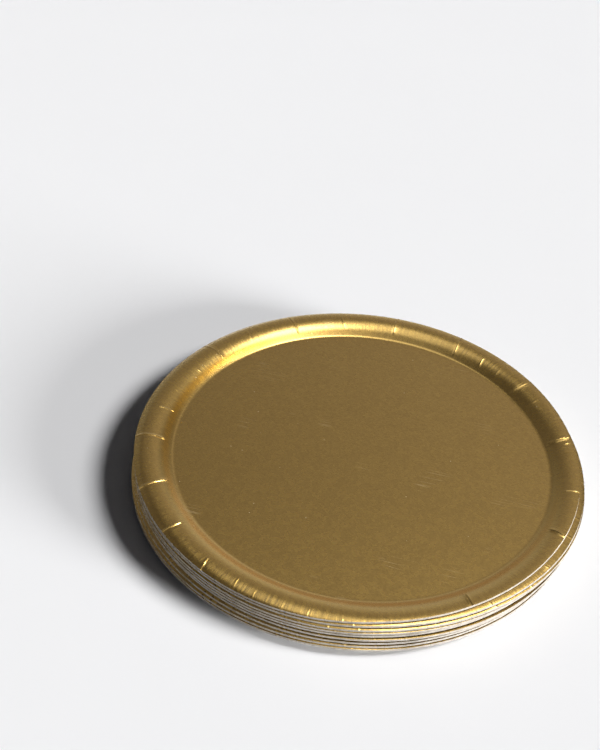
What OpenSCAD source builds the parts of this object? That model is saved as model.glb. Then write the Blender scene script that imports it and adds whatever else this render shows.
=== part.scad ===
// Stack of round pressed paper plates, loosely nested and a little fanned.
// Each plate is one disc of foil-faced board: a flat well, a sloped wall, a crowned rim with a
// turned-down lip, and the fine pleats in which the board gathers as the die draws it in.
// The bottom plate lies flat with the centre of its well at the origin and +Z up. The plates
// above it have slid back, towards +Y, and each sits as high and as tilted as its slide makes it.

/* [Plate] */
// Diameter across the cut edge
plate_d = 180; // [150:5:260]
// Thickness of the board
board = 0.8; // [0.5:0.05:1]
// Width of wall and rim together, from the flat of the well to the cut edge
rim_w = 14; // [12.5:0.5:30]
// How far the cut edge lies to the left of the pressed form
trim_shift = 2; // [0.2:0.1:2.4]

/* [Wall and rim] */
// Radius of the fillet at the foot of the wall
foot_r = 3; // [1.5:0.5:5]
// Slope of the wall in degrees
wall_angle = 33; // [28:1:40]
// Radius of the crowned rim
crown_r = 13; // [8:0.5:15]
// Slope in degrees at which the crown passes into the lip
crown_fall = 9; // [4:1:14]
// Radius of the lip
lip_r = 4.5; // [2:0.5:6]
// Slope of the lip in degrees at the cut edge
lip_fall = 27; // [18:1:40]

/* [Pleats] */
// Number of pleats round one plate
pleats = 22; // [8:1:30]
// Width of a pleat
pleat_w = 0.6; // [0.4:0.1:1.2]
// Height of a pleat above the face of the board
pleat_h = 0.06; // [0.04:0.01:0.2]

/* [Stack] */
// Number of plates
plates = 9; // [2:1:9]
// Clear space left where a plate rests on the one below
seat_gap = 0.04; // [0.02:0.01:0.2]

/* [Hidden] */
// Slide of each plate on the one below it, right and back
slides = [[-0.2, 0.4], [0.7, 0.5], [1.2, 0.3], [-1, 0.2], [0.3, 0.1], [-0.2, 0.3], [-0.3, 0.7], [-0.3, 0.2]];
// Turn from one pleat to the next and from one plate to the next, so that none line up
pleat_turn = 137.5;
plate_turn = 71;
// Angle of one straight step along an arc of the section
arc_step = 6;

plate_r = plate_d / 2;
well_r = plate_r - rim_w;
// Level run of the straight stretch of wall: what the three arcs leave of the rim's width
foot_run = foot_r * sin(wall_angle);
crown_run = crown_r * (sin(wall_angle) + sin(crown_fall));
lip_run = lip_r * (sin(lip_fall) - sin(crown_fall));
wall_run = rim_w - foot_run - crown_run - lip_run;
// Points of the face of the board as [radius, height, slope], from the well outwards
foot = bend([well_r, board], 0, wall_angle, foot_r);
crown = bend(last(foot) + [wall_run, wall_run * tan(wall_angle), 0], wall_angle, -crown_fall, crown_r);
lip = bend(last(crown), -crown_fall, -lip_fall, lip_r);
// The pressed form runs on straight past the lip, and the cutter trims it
over = 2 * trim_shift;
skirt = [last(lip) + [over, -over * tan(lip_fall), 0]];
face = concat(foot, crown, lip, skirt);
// The stretch that a pleat runs along, from the foot of the wall outwards
climb = concat([last(foot)], crown, lip, skirt);
form_h = crown[0][1] + crown_r;
// Where a plate bears on the one below, and the room that the pleats between them take
wall_mid_r = well_r + foot_run + wall_run / 2;
lip_reach = plate_r + trim_shift;
pleat_room = pleat_h / cos(wall_angle) + seat_gap;
$fn = 180;

function last(list) = list[len(list) - 1];

// Points along an arc of radius r that starts at a point and turns from one slope to another
function bend(start, from, to, r) =
    let (steps = ceil(abs(to - from) / arc_step), way = sign(to - from))
    [for (i = [0:steps]) let (a = from + (to - from) * i / steps)
        [start[0] + way * r * (sin(a) - sin(from)), start[1] + way * r * (cos(from) - cos(a)), a]];

// The same points moved off the face by a distance, upwards where it is positive
function raised(points, by) = [for (p = points) [p[0] - by * sin(p[2]), p[1] + by * cos(p[2])]];

function reversed(list) = [for (i = [len(list) - 1:-1:0]) list[i]];

function face_height(r) = lookup(r, [for (p = face) [p[0], p[1]]]);

// Slide of plate k on the one below, and which way it went
function slide(k) = slides[(k - 2) % len(slides)];
function slide_way(k) = atan2(slide(k)[1], slide(k)[0]);

// Rise on the side it slid to, where wall rides up on wall, and on the other, where the lip
// comes down on the crown below, taken where the trim leaves the lip widest
function front_rise(k) = board / cos(wall_angle) + norm(slide(k)) * tan(wall_angle) + pleat_room;
function tail_rise(k) =
    board / cos(lip_fall) + face_height(lip_reach - norm(slide(k))) - face_height(lip_reach) + pleat_room;
function seat_tilt(k) = atan((front_rise(k) - tail_rise(k)) / (wall_mid_r + lip_reach));
function seat_rise(k) = tail_rise(k) + lip_reach * tan(seat_tilt(k));

// Carries its children from the bottom plate's place to plate k's, one seat after another
module seated(k) {
    if (k <= 1) {
        children();
    } else {
        seated(k - 1)
            translate([slide(k)[0], slide(k)[1], seat_rise(k)])
                rotate([0, 0, slide_way(k)])
                    rotate([0, -seat_tilt(k), 0])
                        rotate([0, 0, -slide_way(k)])
                            children();
    }
}

// The pressed form before trimming: well, wall, rim and skirt in one sheet of board
module pressed_form() {
    rotate_extrude()
        polygon(concat([[0, board]], raised(face, 0), reversed(raised(face, -board)), [[0, 0]]));
}

// One pleat: a narrow doubled strip that climbs the wall and crosses the rim
module pleat() {
    pleat_angle = pleat_w / plate_r * 180 / PI;
    rotate([0, 0, -pleat_angle / 2])
        rotate_extrude(angle = pleat_angle)
            polygon(concat(raised(climb, pleat_h), reversed(raised(climb, -board / 2))));
}

// The round cutter, off centre from the die by the trim shift
module cutter() {
    translate([-trim_shift, 0, -form_h])
        cylinder(r = plate_r, h = 3 * form_h);
}

module plate(k) {
    color([0.72, 0.58, 0.33])
        seated(k)
            intersection() {
                union() {
                    pressed_form();
                    for (i = [1:pleats])
                        rotate([0, 0, k * plate_turn + i * pleat_turn])
                            pleat();
                }
                cutter();
            }
}

for (k = [1:plates]) plate(k);
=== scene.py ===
from math import atan, atan2, cos, hypot, pi, radians, sin, tan

import bmesh
import bpy
import numpy as np
from mathutils import Matrix, Vector


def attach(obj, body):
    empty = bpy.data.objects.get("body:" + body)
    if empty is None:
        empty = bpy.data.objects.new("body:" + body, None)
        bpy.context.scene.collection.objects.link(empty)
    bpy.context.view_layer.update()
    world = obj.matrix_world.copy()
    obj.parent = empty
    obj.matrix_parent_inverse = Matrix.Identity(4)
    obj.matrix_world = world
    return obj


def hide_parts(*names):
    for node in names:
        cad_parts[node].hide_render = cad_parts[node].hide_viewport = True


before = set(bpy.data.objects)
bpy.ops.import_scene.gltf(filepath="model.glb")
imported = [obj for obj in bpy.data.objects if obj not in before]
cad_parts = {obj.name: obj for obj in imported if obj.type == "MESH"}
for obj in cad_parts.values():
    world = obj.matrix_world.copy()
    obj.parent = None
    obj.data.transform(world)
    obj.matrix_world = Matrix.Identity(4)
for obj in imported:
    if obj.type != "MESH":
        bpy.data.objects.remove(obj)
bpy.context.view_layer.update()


# The lower eight plates.
# Each is a disc of greyish white board with gold foil on its face. It is cut round, drawn down
# into a shallow form by a heated die, and dropped loosely into the plate below.
plate_r = 0.090
rim_w = 0.014
board = 0.0008
trim_shift = 0.002
foot_r, crown_r, lip_r = 0.003, 0.013, 0.0045
wall_angle, crown_fall, lip_fall = radians(33), radians(9), radians(27)
well_r = plate_r - rim_w
wall_run = (rim_w - foot_r * sin(wall_angle) - crown_r * (sin(wall_angle) + sin(crown_fall))
            - lip_r * (sin(lip_fall) - sin(crown_fall)))
pleats, pleat_turn, plate_turn = 22, 137.5, 71
pleat_h, seat_gap = 0.00006, 0.00004
# Slide of each plate on the one below it, right and back
slides = [(-0.0002, 0.0004), (0.0007, 0.0005), (0.0012, 0.0003), (-0.001, 0.0002),
          (0.0003, 0.0001), (-0.0002, 0.0003), (-0.0003, 0.0007), (-0.0003, 0.0002)]


def bend(start, slope, to, radius, steps):
    """Radius and height along an arc of the section, from one slope to another."""
    way = 1 if to > slope else -1
    turns = [slope + (to - slope) * i / steps for i in range(1, steps + 1)]
    return [(start[0] + way * radius * (sin(a) - sin(slope)),
             start[1] + way * radius * (cos(slope) - cos(a))) for a in turns]


def die_section(steps):
    """The face of the board from the foot of the wall to past the cut edge."""
    line = [(well_r, board)]
    line += bend(line[-1], 0, wall_angle, foot_r, 2 * steps)
    foot_end = line[-1]
    for i in range(1, steps + 1):
        run = wall_run * i / steps
        line.append((foot_end[0] + run, foot_end[1] + run * tan(wall_angle)))
    line += bend(line[-1], wall_angle, -crown_fall, crown_r, 3 * steps)
    line += bend(line[-1], -crown_fall, -lip_fall, lip_r, steps)
    past = 0.004
    return line + [(line[-1][0] + past, line[-1][1] - past * tan(lip_fall))]


section = np.array(die_section(12))


def die_height(r):
    return np.interp(r, np.r_[0, section[:, 0]], np.r_[board, section[:, 1]])


def die_slope(r):
    step = 0.0001
    return np.arctan((die_height(r + step) - die_height(r - step)) / (2 * step))


def seats():
    """Where each plate sits: how far it has slid on the one below sets its rise and its tilt."""
    placed = [Matrix.Identity(4)]
    wall_mid = well_r + foot_r * sin(wall_angle) + wall_run / 2
    reach = plate_r + trim_shift
    room = pleat_h / cos(wall_angle) + seat_gap
    for right, back in slides:
        slid, way = hypot(right, back), atan2(back, right)
        front = board / cos(wall_angle) + slid * tan(wall_angle) + room
        tail = board / cos(lip_fall) + float(die_height(reach - slid) - die_height(reach)) + room
        tilt = atan((front - tail) / (wall_mid + reach))
        placed.append(placed[-1] @ Matrix.Translation((right, back, tail + reach * tan(tilt)))
                      @ Matrix.Rotation(way, 4, "Z") @ Matrix.Rotation(-tilt, 4, "Y")
                      @ Matrix.Rotation(-way, 4, "Z"))
    return placed


seat = seats()


def wrapped(turn):
    """The same way round, counted from half a turn back to half a turn on."""
    return (turn + pi) % (2 * pi) - pi


def cut_blank(name, around, rings, creases, half_width, cuts):
    """A flat disc with a ring for every bend of the die, and extra columns at every crease."""
    bpy.ops.object.select_all(action="DESELECT")
    bpy.ops.mesh.primitive_circle_add(vertices=around, radius=rings[0], fill_type="TRIFAN")
    blank = bpy.context.object
    blank.name = blank.data.name = name
    bpy.ops.object.mode_set(mode="EDIT")
    bpy.ops.mesh.select_mode(type="EDGE")
    bpy.ops.mesh.select_all(action="DESELECT")
    bpy.ops.mesh.select_non_manifold()
    for inner, outer in zip(rings, rings[1:]):
        grown = outer / inner
        bpy.ops.mesh.extrude_edges_move()
        bpy.ops.transform.resize(value=(grown, grown, 1), center_override=(0, 0, 0))
    bpy.ops.mesh.select_all(action="DESELECT")
    net = bmesh.from_edit_mesh(blank.data)
    for edge in net.edges:
        a, b = (v.co for v in edge.verts)
        middle = (a + b) / 2
        along_ring = abs(a.length - b.length) < 1e-6
        if middle.length > rings[1] and along_ring:
            turns = wrapped(atan2(middle.y, middle.x) - creases)
            off = np.abs(turns).min() * middle.length
            if off < half_width * middle.length / plate_r:
                edge.select = True
    bmesh.update_edit_mesh(blank.data)
    bpy.ops.mesh.subdivide(number_cuts=cuts)
    bpy.ops.mesh.select_all(action="SELECT")
    bpy.ops.mesh.normals_make_consistent(inside=False)
    bpy.ops.object.mode_set(mode="OBJECT")
    return blank


def ring_radii(steps, well_rings):
    """The rings of a blank: some in the well, then one for every bend of the die."""
    return well_rings + [r for r, z in die_section(steps) if r < plate_r - 1e-6] + [plate_r]


def read_points(plate):
    co = np.empty(len(plate.data.vertices) * 3)
    plate.data.vertices.foreach_get("co", co)
    return co.reshape(-1, 3)


def write_points(plate, co):
    plate.data.vertices.foreach_set("co", co.ravel())


def way_and_radius(co):
    return np.arctan2(co[:, 1], co[:, 0]), np.hypot(co[:, 0], co[:, 1])


def pick(plate):
    """Makes a plate the only thing that the next operator acts on."""
    bpy.ops.object.select_all(action="DESELECT")
    plate.select_set(True)
    bpy.context.view_layer.objects.active = plate


def off_crease(turn, r, crease):
    """How far a point lies to the left of a crease that runs outwards, in metres."""
    return wrapped(turn - crease) * r


def round_cut(turn):
    """Radius of the cut edge: a circle a little to the left of the pressed form."""
    return (-trim_shift * np.cos(turn)
            + np.sqrt(plate_r ** 2 - (trim_shift * np.sin(turn)) ** 2))


def press(blank, rings, creases, run_of, cut_of):
    """Closes the die on the blank, gives it its thickness and cuts its edge, which leans out a
    little on the right. Returns how many points its face has."""
    co = read_points(blank)
    count = len(co)
    turn, r = way_and_radius(co)
    # A point cut into a chord goes out to its ring
    rings = np.array(rings)
    nearest = rings[np.abs(rings[None, :] - r[:, None] * 1.00001).argmin(1)]
    r = np.where(r > rings[0] * 1.001, nearest, r)
    # The columns beside a crease follow its own line, less and less with the way from it
    moved = np.zeros(count)
    pull_width = 0.003
    for number, crease in enumerate(creases):
        off = off_crease(turn, r, crease)
        pull = np.clip(1.6 - np.abs(off) / pull_width, 0, 1)
        moved += pull * run_of(number, r) / np.maximum(r, 0.01)
    turn = turn + np.where(r > well_r - 0.001, moved, 0)
    # The board outside this radius is drawn in or out to meet the cut
    hold = plate_r - 0.007
    drawn = np.where(r > hold, hold + (r - hold) * (cut_of(turn) - hold) / (plate_r - hold), r)
    write_points(blank, np.stack([drawn * np.cos(turn), drawn * np.sin(turn),
                                  die_height(drawn)], 1))
    thick = blank.modifiers.new("board", "SOLIDIFY")
    thick.thickness, thick.offset = board, -1
    thick.material_offset, thick.material_offset_rim = 1, 2
    pick(blank)
    bpy.ops.object.modifier_apply(modifier="board")
    most_lean = 0.00012
    for i in np.flatnonzero(r > plate_r - 1e-7):
        face_side, back_side = blank.data.vertices[int(i)], blank.data.vertices[int(i) + count]
        lean = most_lean * max(cos(turn[i]), 0)
        back_side.co = face_side.co + Vector((lean * cos(turn[i]), lean * sin(turn[i]),
                                              -board / cos(lip_fall) - lean * tan(lip_fall)))
    return count


def emboss(plate, count, creases, rise_of, run_of):
    """Raises the folds on the face of a pressed plate, along the slope's own normal."""
    co = read_points(plate)
    turn, r = way_and_radius(co[:count])
    raised = np.zeros(count)
    fold_reach = 0.004
    for number, crease in enumerate(creases):
        off = off_crease(turn, r, crease) - run_of(number, r)
        raised += np.where(np.abs(off) < fold_reach, rise_of(number, off, r), 0)
    slope = die_slope(r)
    out, up = r - raised * np.sin(slope), co[:count, 2] + raised * np.cos(slope)
    co[:count] = np.stack([out * np.cos(turn), out * np.sin(turn), up], 1)
    write_points(plate, co)


def sway(plate, amount):
    """Lets the rim rise and fall a little on its way round, as damp board does."""
    co = read_points(plate)
    turn, r = way_and_radius(co)
    # Way round in degrees, and the share of the amount there
    degrees = [-180, -150, -125, -104, -88, -74, -62, -45, -20, 10, 40, 90, 180]
    shares = [0, 0, -0.2, -0.75, -0.45, 0.7, 0.6, 0.3, 0, -0.4, 0, 0, 0]
    wave = np.interp(np.degrees(turn), degrees, shares)
    still_r, free_width = 0.079, 0.011
    free = np.clip((r - still_r) / free_width, 0, 1)
    co[:, 2] += amount * wave * free * free * (3 - 2 * free)
    write_points(plate, co)


def seat_plate(plate, place):
    """Sets a plate in its seat, keeps that place in its mesh, and smooths it."""
    pick(plate)
    plate.matrix_world = place
    bpy.ops.object.transform_apply(location=True, rotation=True, scale=True)
    bpy.ops.object.shade_smooth_by_angle(angle=radians(35))


class Wiring:
    """Joins shader nodes in one tree by short names."""

    def __init__(self, tree):
        self.tree = tree

    def feed(self, socket, value):
        """Gives a socket the output of another node, or a plain value."""
        if isinstance(value, bpy.types.NodeSocket):
            self.tree.links.new(value, socket)
        else:
            socket.default_value = value

    def add(self, kind, sockets=None, **settings):
        node = self.tree.nodes.new(kind)
        for key, value in settings.items():
            setattr(node, key, value)
        for key, value in (sockets or {}).items():
            self.feed(node.inputs[key], value)
        return node

    def math(self, operation, a, b=0.0, c=0.0):
        return self.add("ShaderNodeMath", {0: a, 1: b, 2: c}, operation=operation).outputs[0]

    def times(self, a, b):
        return self.math("MULTIPLY", a, b)

    def times_plus(self, a, b, c):
        return self.math("MULTIPLY_ADD", a, b, c)

    def vector(self, operation, a, b=(0, 0, 0)):
        node = self.add("ShaderNodeVectorMath", {0: a, 1: b}, operation=operation)
        return node.outputs["Value" if operation in ("DOT_PRODUCT", "LENGTH") else "Vector"]

    def lay(self, vector, turn=0.0, scale=(1, 1, 1), shift=(0, 0, 0)):
        """Moves, turns and stretches the pattern that reads this vector."""
        return self.add("ShaderNodeMapping", {"Vector": vector, "Location": shift,
                                              "Rotation": (0, 0, turn), "Scale": scale}).outputs[0]

    def noise(self, vector, scale, detail=2.0, roughness=0.5):
        return self.add("ShaderNodeTexNoise", {"Vector": vector, "Scale": scale, "Detail": detail,
                                               "Roughness": roughness}).outputs["Fac"]

    def span(self, value, low, high, to_low=0.0, to_high=1.0, how="LINEAR"):
        return self.add("ShaderNodeMapRange", {"Value": value, "From Min": low, "From Max": high,
                                               "To Min": to_low, "To Max": to_high},
                        interpolation_type=how).outputs[0]

    def blend(self, share, a, b):
        return self.add("ShaderNodeMix", {0: share, 6: a, 7: b}, data_type="RGBA").outputs[2]


def surface_group(name, takes):
    """A shader node group that gives a surface's colour, roughness and height at each place."""
    group = bpy.data.node_groups.new(name, "ShaderNodeTree")
    group.interface.new_socket("Place", in_out="INPUT", socket_type="NodeSocketVector")
    for label, kind, value in takes:
        socket = group.interface.new_socket(label, in_out="INPUT", socket_type=kind)
        socket.default_value = value
    for label, kind in (("Color", "NodeSocketColor"), ("Roughness", "NodeSocketFloat"),
                        ("Height", "NodeSocketFloat")):
        group.interface.new_socket(label, in_out="OUTPUT", socket_type=kind)
    wire = Wiring(group)
    return group, wire, wire.add("NodeGroupInput").outputs, wire.add("NodeGroupOutput").inputs


# The foil's surface: mottling and paper grain that shows through it, a painted reflection
# in an orange band on the wall, most on the near left, gathers that run across the rim, dust and
# pin-pricks, and fine scratches
foil_group, wire, take, give = surface_group("foil surface", [
    ("Gold", "NodeSocketColor", (0.415, 0.27, 0.063, 1)),
    ("Deep gold", "NodeSocketColor", (0.33, 0.205, 0.042, 1)),
    ("Sheen", "NodeSocketFloat", 0.27),
    ("Gathers", "NodeSocketFloat", 0.00013)])
# The orange of the painted reflection on the wall, and the colour of real dust
painted_reflection_gold, dust = (0.4, 0.2, 0.008, 1), (0.62, 0.55, 0.42, 1)
place = take["Place"]
away = wire.vector("MULTIPLY", place, (1, 1, 0))
radius = wire.vector("LENGTH", away)
facing = wire.vector("NORMALIZE", away)

grain = wire.noise(wire.lay(place, 0.7, (900, 2100, 1500)), 1.0, 1.0)
patches = wire.noise(place, 70.0)
tone = wire.span(wire.times_plus(patches, 0.12, wire.times(grain, 0.88)), 0.3, 0.7)
color = wire.blend(tone, take["Deep gold"], take["Gold"])

# Painted reflection: an orange band on the wall, strongest on the near left, stands in for the
# warm light that the wall mirrors
foot_side, crown_side = wire.span(radius, 0.0769, 0.0789), wire.span(radius, 0.0816, 0.0798)
near_left = wire.span(wire.vector("DOT_PRODUCT", facing, (-0.6, -0.8, 0)), -0.75, -0.1)
painted_reflection_band = wire.times(wire.times(foot_side, crown_side), near_left)
color = wire.blend(wire.times(painted_reflection_band, 0.9), color, painted_reflection_gold)

dots = wire.add("ShaderNodeTexVoronoi", {"Vector": place, "Scale": 230.0, "Randomness": 1.0})
lot = wire.add("ShaderNodeSeparateColor", {0: dots.outputs["Color"]}).outputs[0]
speck = wire.times(wire.span(dots.outputs["Distance"], 0.06, 0.03),
                   wire.math("LESS_THAN", lot, 0.25))
hair = wire.noise(wire.lay(place, 0.35, (12, 400, 1)), 1.0, 0.0)
hair_line = wire.span(wire.math("ABSOLUTE", wire.math("SUBTRACT", hair, 0.5)), 0.02, 0.006)
scratch = wire.times(hair_line, wire.span(wire.noise(place, 48.0, 1.0), 0.64, 0.74))
mark = wire.math("MAXIMUM", speck, wire.times(scratch, 0.5))
wire.feed(give["Color"], wire.blend(wire.times(mark, 0.55), color, dust))

fibres = wire.noise(place, 420.0, 1.0)
rough = wire.math("ADD", take["Sheen"], wire.span(fibres, 0.3, 0.7, -0.015, 0.015))
wire.feed(give["Roughness"], wire.times_plus(mark, 0.25, rough))

wound = wire.vector("MULTIPLY", facing, (60, 60, 0))
strewn = wire.add("ShaderNodeCombineXYZ", {"Z": wire.times(radius, 90.0)}).outputs[0]
gathers = wire.noise(wire.vector("ADD", wound, strewn), 1.0, 3.0, 0.6)
on_rim = wire.span(radius, 0.077, 0.086)
height = wire.times_plus(grain, 0.000003, wire.times(fibres, 0.000002))
height = wire.times_plus(wire.times(gathers, on_rim), take["Gathers"], height)
wire.feed(give["Height"], wire.times_plus(mark, -0.000008, height))

# Bare board: felted fibres in greyish white, and along a cut edge its thin layers
board_group, wire, take, give = surface_group("bare board", [
    ("Pale", "NodeSocketColor", (0.46, 0.42, 0.365, 1)),
    ("Grey", "NodeSocketColor", (0.25, 0.222, 0.185, 1)),
    ("Layers", "NodeSocketFloat", 0.0)])
place = take["Place"]
felt = wire.noise(place, 800.0, 2.0, 0.55)
cloud = wire.noise(place, 55.0)
layer = wire.noise(wire.lay(place, scale=(150, 150, 5000)), 1.0, 1.0)
tone = wire.times_plus(felt, 0.5, wire.times(cloud, 0.5))
tone = wire.times_plus(take["Layers"], wire.math("SUBTRACT", layer, 0.5), tone)
wire.feed(give["Color"], wire.blend(wire.span(tone, 0.3, 0.68), take["Grey"], take["Pale"]))
wire.feed(give["Roughness"], wire.span(cloud, 0.3, 0.7, 0.78, 0.9))
ridges = wire.times(take["Layers"], 0.00003)
wire.feed(give["Height"], wire.times_plus(layer, ridges, wire.times(felt, 0.000015)))


def finish_with(name, group, centre, values, metallic):
    """A material that reads one surface group, centred on its own plate."""
    material = bpy.data.materials.new(name)
    material.use_nodes = True
    wire = Wiring(material.node_tree)
    shader = material.node_tree.nodes["Principled BSDF"]
    shader.inputs["Metallic"].default_value = metallic
    if metallic:
        # The gold is a yellow lacquer over bright foil, so strong lights glint white on it
        shader.inputs["Coat Weight"].default_value = 0.8
        shader.inputs["Coat Roughness"].default_value = 0.24
        shader.inputs["Specular Tint"].default_value = (1, 0.88, 0.62, 1)
    spot = wire.add("ShaderNodeTexCoord").outputs["Object"]
    spot = wire.lay(spot, shift=tuple(-v for v in centre))
    surface = wire.add("ShaderNodeGroup", {"Place": spot, **values}, node_tree=group).outputs
    bump = wire.add("ShaderNodeBump", {"Height": surface["Height"], "Strength": 1.0,
                                       "Distance": 1.0})
    wire.feed(shader.inputs["Base Color"], surface["Color"])
    wire.feed(shader.inputs["Roughness"], surface["Roughness"])
    wire.feed(shader.inputs["Normal"], bump.outputs[0])
    return material


def dress(plate, label, centre, foil_values):
    """Foil on the face of a plate, bare board on its back and layered board on its cut edge."""
    for finish, group, values, metallic in (("gold foil", foil_group, foil_values, 1.0),
                                            ("board back", board_group, {}, 0.0),
                                            ("cut edge", board_group, {"Layers": 0.8}, 0.0)):
        name = label.format(finish)
        plate.data.materials.append(finish_with(name, group, centre, values, metallic))


def lower_run(number, r):
    """The wander of a lower plate's crease off its straight line, in metres."""
    return 0.00025 * np.sin(r * 900 + number * 2.1) + (r - 0.084) * 0.18 * sin(number * 1.7)


def lower_rise(number, off, r):
    """The fold of a lower plate: a soft ramp, a sharp step and a shallow groove."""
    fold_h, fade = 0.00009, 0.002
    shape = np.interp(off, [-0.0013, -0.0006, -0.00015, 0, 0.00015, 0.0004, 0.0009],
                      [0, 0.3, 1, 0.9, -0.3, -0.2, 0])
    starts = 0.0785 + 0.004 * abs(sin(number * 2.9))
    return fold_h * shape * np.clip((r - starts) / fade, 0, 1)


def swell(turn, middle, width):
    """One in the middle of a stretch of the edge, and falling off softly on both sides."""
    return np.exp(-((turn - middle) / width) ** 2)


def wider_cut(amount):
    """The edge of a plate that was cut wider than the rest on the right."""
    return lambda turn: round_cut(turn) + amount * swell(turn, -0.17, 0.55)


folds = wrapped(np.array([radians(pleat_turn) * i for i in range(1, pleats + 1)]))
extra_width = {6: 0.001, 7: 0.0018, 8: 0.0017}
radii = ring_radii(3, [0.030, 0.060, 0.0755])
lower_blank = cut_blank("lower_blank", around=240, rings=radii, creases=folds,
                        half_width=0.0014, cuts=7)
for k in range(1, 9):
    plate = lower_blank.copy()
    plate.data = lower_blank.data.copy()
    plate.name = plate.data.name = f"foil_plate_{k}"
    bpy.context.scene.collection.objects.link(plate)
    turned_by = radians(plate_turn * k)
    plate.data.transform(Matrix.Rotation(turned_by, 4, "Z"))
    creases = wrapped(folds + turned_by)
    dress(plate, f"{{}} {k}", seat[k - 1].translation, {"Gathers": 0.00006})
    count = press(plate, radii, creases, lower_run, wider_cut(extra_width.get(k, 0)))
    emboss(plate, count, creases, lower_rise, lower_run)
    sway(plate, 0.0001 * (k - 1))
    seat_plate(plate, seat[k - 1])
    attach(plate, "root")
    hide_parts(f"plate_{k}")
bpy.data.objects.remove(lower_blank)


# The top plate.
# It is the same board and the same form, and its whole face shows. The folds that the die left
# in its rim stand one by one where the real ones do, some sharp and some barely begun. Those on
# the far side are guessed.

# Each kind of fold is a profile across it, in mm: a lapped step, a fine raised ridge, and a
# groove with a lit bank
lap = ([-1.5, -0.7, -0.14, 0, 0.14, 0.4, 1.0], [0, 0.3, 1, 0.85, -0.35, -0.2, 0])
ridge = ([-0.7, -0.25, 0, 0.2, 0.5], [0, 0.35, 1, 0.1, 0])
groove = ([-1.2, -0.5, -0.2, 0, 0.18, 0.5, 1.2], [0, 0.5, 0.75, -0.7, -0.6, 0.35, 0])
top_folds = [
    # angle in degrees, radius where it starts and ends in mm, lean in mm, height in mm, kind
    (71.5, 78.5, 90.5, 1.6, 0.16, lap), (61.5, 78.5, 84.5, 1.2, 0.13, ridge),
    (55.1, 79.0, 83.5, 0.9, 0.07, ridge), (46.2, 78.0, 89.5, -0.4, 0.20, lap),
    (45.0, 83.5, 89.5, -0.5, 0.10, ridge), (38.6, 80.5, 85.0, 0.4, 0.08, ridge),
    (21.5, 77.8, 87.5, 0.4, 0.28, groove), (19.6, 83.0, 88.0, 0.7, 0.12, ridge),
    (1.0, 81.0, 88.4, 0.6, 0.14, ridge), (-15.8, 80.5, 88.2, -0.9, 0.28, groove),
    (-51.2, 80.5, 88.8, -0.8, 0.22, groove), (-67.6, 77.5, 81.5, -0.7, 0.05, ridge),
    (-71.8, 86.5, 89.4, 0, 0.12, lap), (-82.3, 88.0, 89.8, 0, 0.10, lap),
    (-83.0, 77.5, 81.5, 0.3, 0.05, ridge), (-90.2, 86.0, 89.2, 0, 0.04, lap),
    (-96.4, 87.0, 90.0, 0.3, 0.03, lap), (-103.8, 86.0, 90.0, 0.4, 0.07, ridge),
    (-109.0, 85.0, 90.0, 0.4, 0.08, ridge), (-118.3, 85.0, 90.6, 1.4, 0.18, lap),
    (-132.3, 82.5, 91.0, -0.3, 0.22, lap), (-148.4, 79.5, 91.2, 2.4, 0.24, lap),
    (-164.2, 79.3, 81.0, -1.8, 0.07, ridge), (-166.5, 79.5, 91.3, -0.4, 0.26, lap),
    (-172.4, 82.5, 83.6, -0.6, 0.06, ridge), (-178.4, 79.5, 86.2, 0.5, 0.22, ridge),
    (173.3, 82.0, 84.2, -0.5, 0.07, ridge), (161.8, 81.0, 83.4, 0, 0.12, ridge),
    (163.8, 85.8, 87.6, -0.6, 0.06, ridge), (152.0, 80.0, 90.5, 0.8, 0.14, lap),
    (139.0, 82.0, 88.0, -0.5, 0.10, ridge), (124.0, 79.5, 90.5, 0.9, 0.16, lap),
    (108.5, 81.0, 87.0, 0.4, 0.10, ridge), (92.0, 79.5, 90.5, -0.7, 0.15, lap)]
top_lines = np.array([radians(fold[0]) for fold in top_folds])


def top_run(number, r):
    """The line of one fold: its lean, and a small wander along it."""
    _, start, end, lean, _, _ = top_folds[number]
    along = (r * 1000 - (start + end) / 2) / (end - start)
    wander = 0.12
    return (lean * np.clip(along, -0.7, 0.7) + wander * np.sin(along * 5 + number)
            - wander * sin(number)) / 1000


def top_rise(number, off, r):
    """The fold itself, which fades in and, unless it reaches the edge, fades out again."""
    _, start, end, _, rise, kind = top_folds[number]
    fade, edge_from = 1.2, 88.6
    height = np.interp(off * 1000, *kind) * rise / 1000
    inner = np.clip((r * 1000 - start) / fade, 0, 1)
    outer = 1 if end > edge_from else np.clip((end - r * 1000) / fade, 0, 1)
    return height * inner * outer


def top_cut(turn):
    """The top plate's edge, cut a little short on the near right."""
    return round_cut(turn) - 0.0011 * swell(turn, -0.75, 0.6)


radii = ring_radii(5, [0.025, 0.050, 0.070, 0.0755])
top_plate = cut_blank("foil_plate_9", around=360, rings=radii, creases=top_lines,
                      half_width=0.0016, cuts=7)
dress(top_plate, "top {}", seat[8].translation, {})
count = press(top_plate, radii, top_lines, top_run, top_cut)
emboss(top_plate, count, top_lines, top_rise, top_run)
sway(top_plate, 0.0008)
seat_plate(top_plate, seat[8])
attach(top_plate, "root")
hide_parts("plate_9")


# The table top.
# A plain, nearly white sheet that runs out far past the stack, matt and very slightly uneven.
bpy.ops.object.select_all(action="DESELECT")
bpy.ops.mesh.primitive_plane_add(size=8)
floor = bpy.context.object
floor.name = "table_top"
paint = bpy.data.materials.new("white table top")
paint.use_nodes = True
wire = Wiring(paint.node_tree)
shader = paint.node_tree.nodes["Principled BSDF"]
haze = wire.noise(wire.add("ShaderNodeTexCoord").outputs["Object"], 9.0)
near_white = wire.blend(haze, (0.925, 0.925, 0.935, 1), (0.94, 0.94, 0.95, 1))
wire.feed(shader.inputs["Base Color"], near_white)
shader.inputs["Roughness"].default_value = 0.8
shader.inputs["Specular IOR Level"].default_value = 0.2
floor.data.materials.append(paint)


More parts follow.
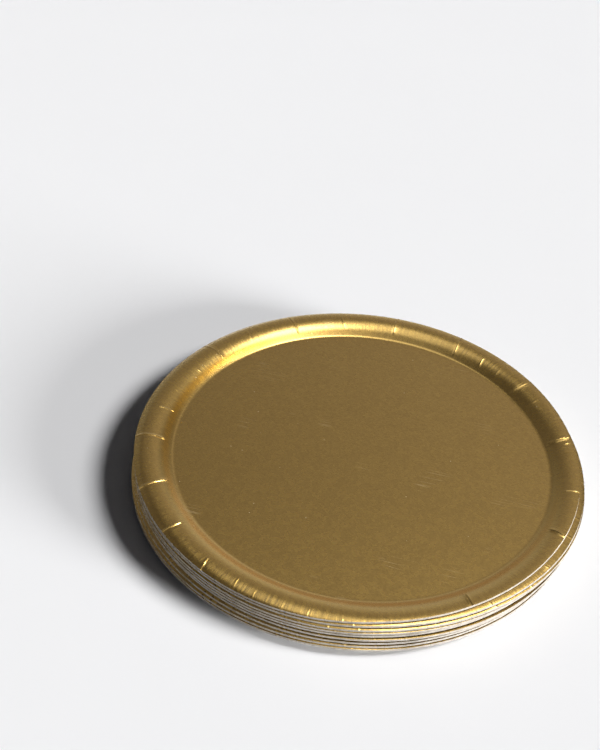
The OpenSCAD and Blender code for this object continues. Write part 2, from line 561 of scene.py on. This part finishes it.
# The light and the camera.
# A soft lamp to the right throws the stack's shadow to the left, a low one grazes the cut edges,
# two cards overhead show only in the foil, and pale walls stand all round under a dim ceiling.
# The camera looks down from the front.
def lamp(name, turn, climb, across, power):
    """A soft box so far off that it lights the table evenly. Way round, height and width are
    in degrees."""
    light = bpy.data.lights.new(name, "SUN")
    light.energy, light.angle = power, radians(across)
    holder = bpy.data.objects.new(name, light)
    level = Vector((cos(radians(climb)), 0, sin(radians(climb))))
    way = Matrix.Rotation(radians(turn), 3, "Z") @ level
    holder.rotation_euler = way.to_track_quat("Z", "Y").to_euler()
    holder.location = way
    bpy.context.scene.collection.objects.link(holder)


lamp("soft lamp right", turn=10, climb=41, across=20, power=2.95)
lamp("low lamp right", turn=-14, climb=9, across=18, power=6.2)
for name, spot, size, power in (("card overhead", (0.17, 0.28, 1.4), (1.15, 0.85), 4.3),
                                ("bright card overhead", (0.38, 0.28, 1.35), (0.5, 0.55), 10.0)):
    light = bpy.data.lights.new(name, "AREA")
    light.shape, light.size, light.size_y, light.energy = "RECTANGLE", size[0], size[1], power
    card = bpy.data.objects.new(name, light)
    card.location = spot
    card.visible_diffuse = False
    bpy.context.scene.collection.objects.link(card)

# What the foil mirrors: walls bright near the floor and dim above, dimmer at both sides and
# darkest in the far right corner. The white that the camera sees behind the table is the same
# room at its plain level, and matt surfaces get only a little of it.
bright_wall, dim_wall, ceiling = (1.0, 0.99, 0.97, 1), (0.56, 0.51, 0.5, 1), (0.27, 0.25, 0.24, 1)
plain_white, matt_fill = (1, 1, 1, 1), (0.02, 0.02, 0.022, 1)
world = bpy.data.worlds.new("studio")
bpy.context.scene.world = world
world.use_nodes = True
wire = Wiring(world.node_tree)
background = world.node_tree.nodes["Background"]
gaze = wire.add("ShaderNodeTexCoord").outputs["Generated"]
towards = wire.add("ShaderNodeSeparateXYZ", {0: gaze}).outputs
up_wall = wire.span(towards["Z"], 0.3, 0.6, how="SMOOTHSTEP")
overhead = wire.span(towards["Z"], 0.62, 0.88, how="SMOOTHSTEP")
room = wire.blend(overhead, wire.blend(up_wall, bright_wall, dim_wall), ceiling)
left_side, right_side = (wire.span(towards["X"], -0.6, 0.2, 0.38, 1.12),
                         wire.span(towards["X"], 0.3, 0.6, 1.0, 0.5))
corner = wire.span(wire.vector("DOT_PRODUCT", gaze, (0.4, 0.85, 0.34)), 0.92, 0.98, 1.0, 0.35)
level = wire.times(wire.times(left_side, right_side), corner)
shade = wire.add("ShaderNodeVectorMath", {0: room, "Scale": level}, operation="SCALE").outputs[0]
path = wire.add("ShaderNodeLightPath").outputs
seen = wire.math("MAXIMUM", path["Is Camera Ray"], path["Is Transmission Ray"])
fill = wire.blend(path["Is Glossy Ray"], matt_fill, shade)
wire.feed(background.inputs["Color"], wire.blend(seen, fill, plain_white))
background.inputs["Strength"].default_value = 1

# Lens, place and way of looking come from a fit to the top plate's well and its cut edge
eye = bpy.data.cameras.new("camera")
eye.lens = 57.6
eye.clip_start, eye.clip_end = 0.01, 30
camera = bpy.data.objects.new("camera", eye)
right, down, ahead = (Vector((0.9663, 0.2495, 0.0629)), Vector((0.2064, -0.6061, -0.7681)),
                      Vector((-0.1536, 0.7553, -0.6372)))
turned = Matrix((right, -down, -ahead)).transposed().to_4x4()
camera.matrix_world = Matrix.Translation((0.0443, -0.3531, 0.3464)) @ turned
bpy.context.scene.collection.objects.link(camera)
bpy.context.scene.camera = camera
bpy.context.scene.view_settings.view_transform = "Standard"
